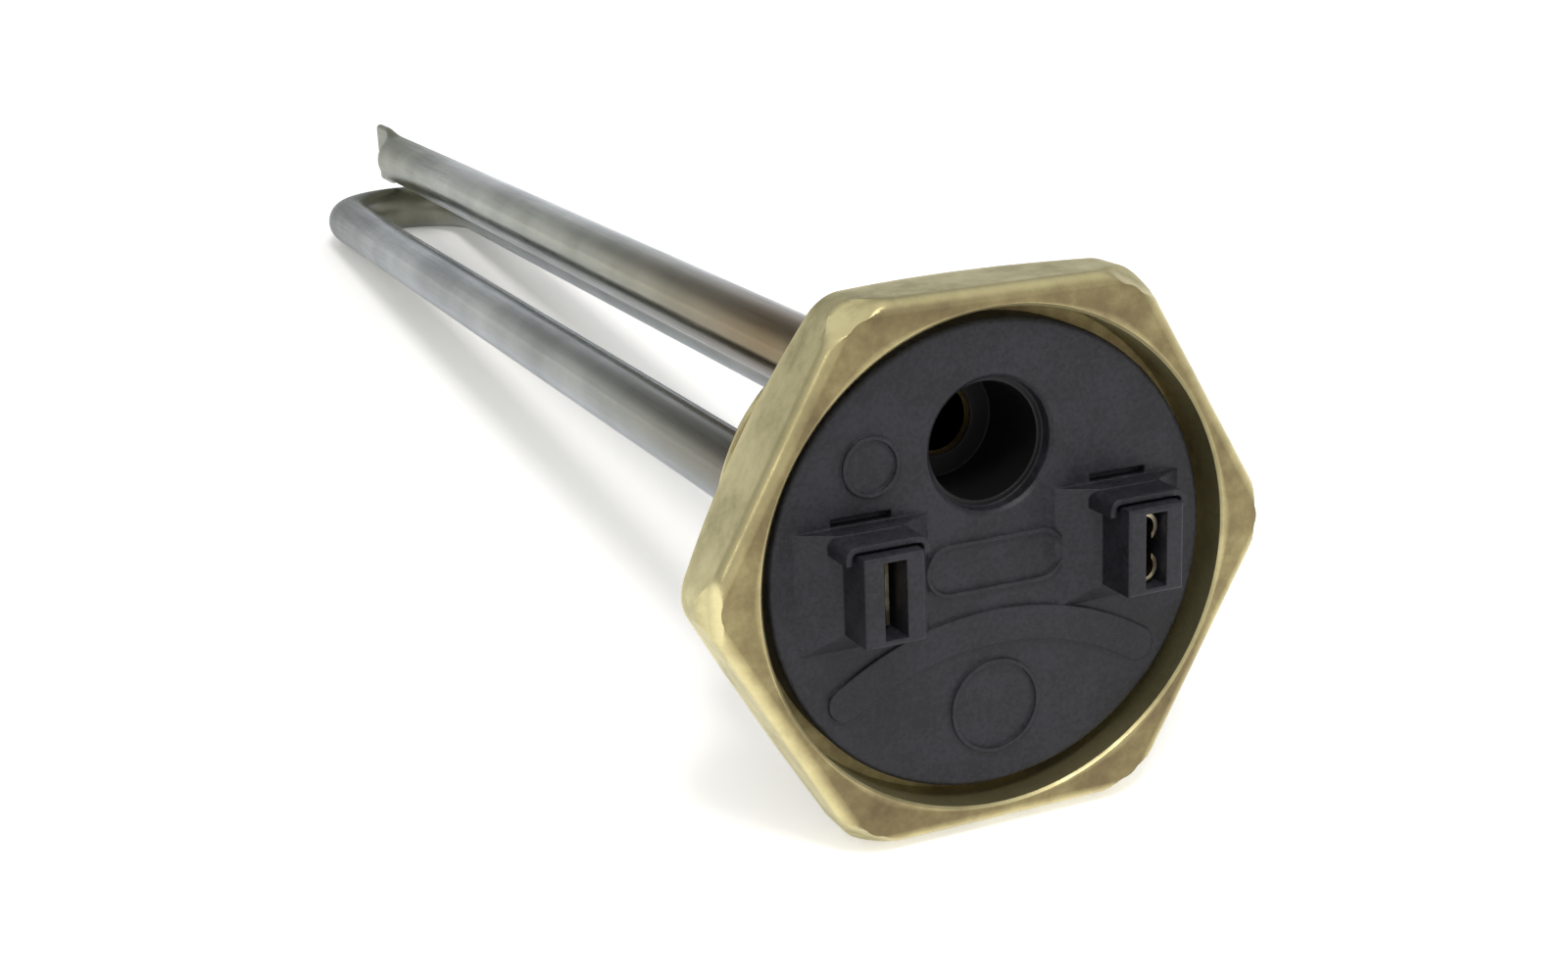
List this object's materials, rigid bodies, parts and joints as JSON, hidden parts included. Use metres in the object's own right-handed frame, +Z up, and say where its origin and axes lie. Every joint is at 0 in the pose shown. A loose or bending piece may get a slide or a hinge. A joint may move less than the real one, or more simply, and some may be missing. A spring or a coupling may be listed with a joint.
{
  "type": "screw-in boiler heating element",
  "caption": "Screw-in immersion heater: hexagon plug with pipe thread, hairpin heating tube, thermostat pocket and moulded terminal cover.",
  "frame": {"origin": "on the thread axis, in the plane of the sealing face behind the hexagon", "axes": "+Y along the thread axis from the hexagon towards the tubes, +Z up from the hairpin to the pocket, +X to the right seen from the terminals"},
  "size_m": [0.0622, 0.2552, 0.055],
  "materials": {
    "plug_brass": "turned brass with a dull olive tarnish",
    "sheath_metal": "drawn tube, satin grey",
    "coil_wire": "resistance wire, sealed inside",
    "magnesia": "packed magnesia powder, sealed inside",
    "pin_steel": "plated steel pin",
    "seal_resin": "cured sealing resin",
    "bead_ceramic": "unglazed steatite",
    "receptacle_brass": "rolled brass strip",
    "braze": "solid braze fillet",
    "pocket_metal": "drawn tube, satin grey with heat tint",
    "cover_moulding": "black thermoset moulding, fine grain"
  },
  "bodies": {
    "root": {"head_plug": "plug_brass", "heating_sheath": "sheath_metal", "resistance_coil": "coil_wire", "magnesia_packing": "magnesia", "cold_pin_left": "pin_steel", "cold_pin_right": "pin_steel", "end_seal_left": "seal_resin", "end_seal_right": "seal_resin", "ceramic_bead_left": "bead_ceramic", "ceramic_bead_right": "bead_ceramic", "tab_receptacle_left": "receptacle_brass", "tab_receptacle_right": "receptacle_brass", "braze_ring_left": "braze", "braze_ring_right": "braze", "braze_ring_pocket": "braze", "pocket_tube": "pocket_metal", "terminal_cover": "cover_moulding"}
  },
  "joints": []
}
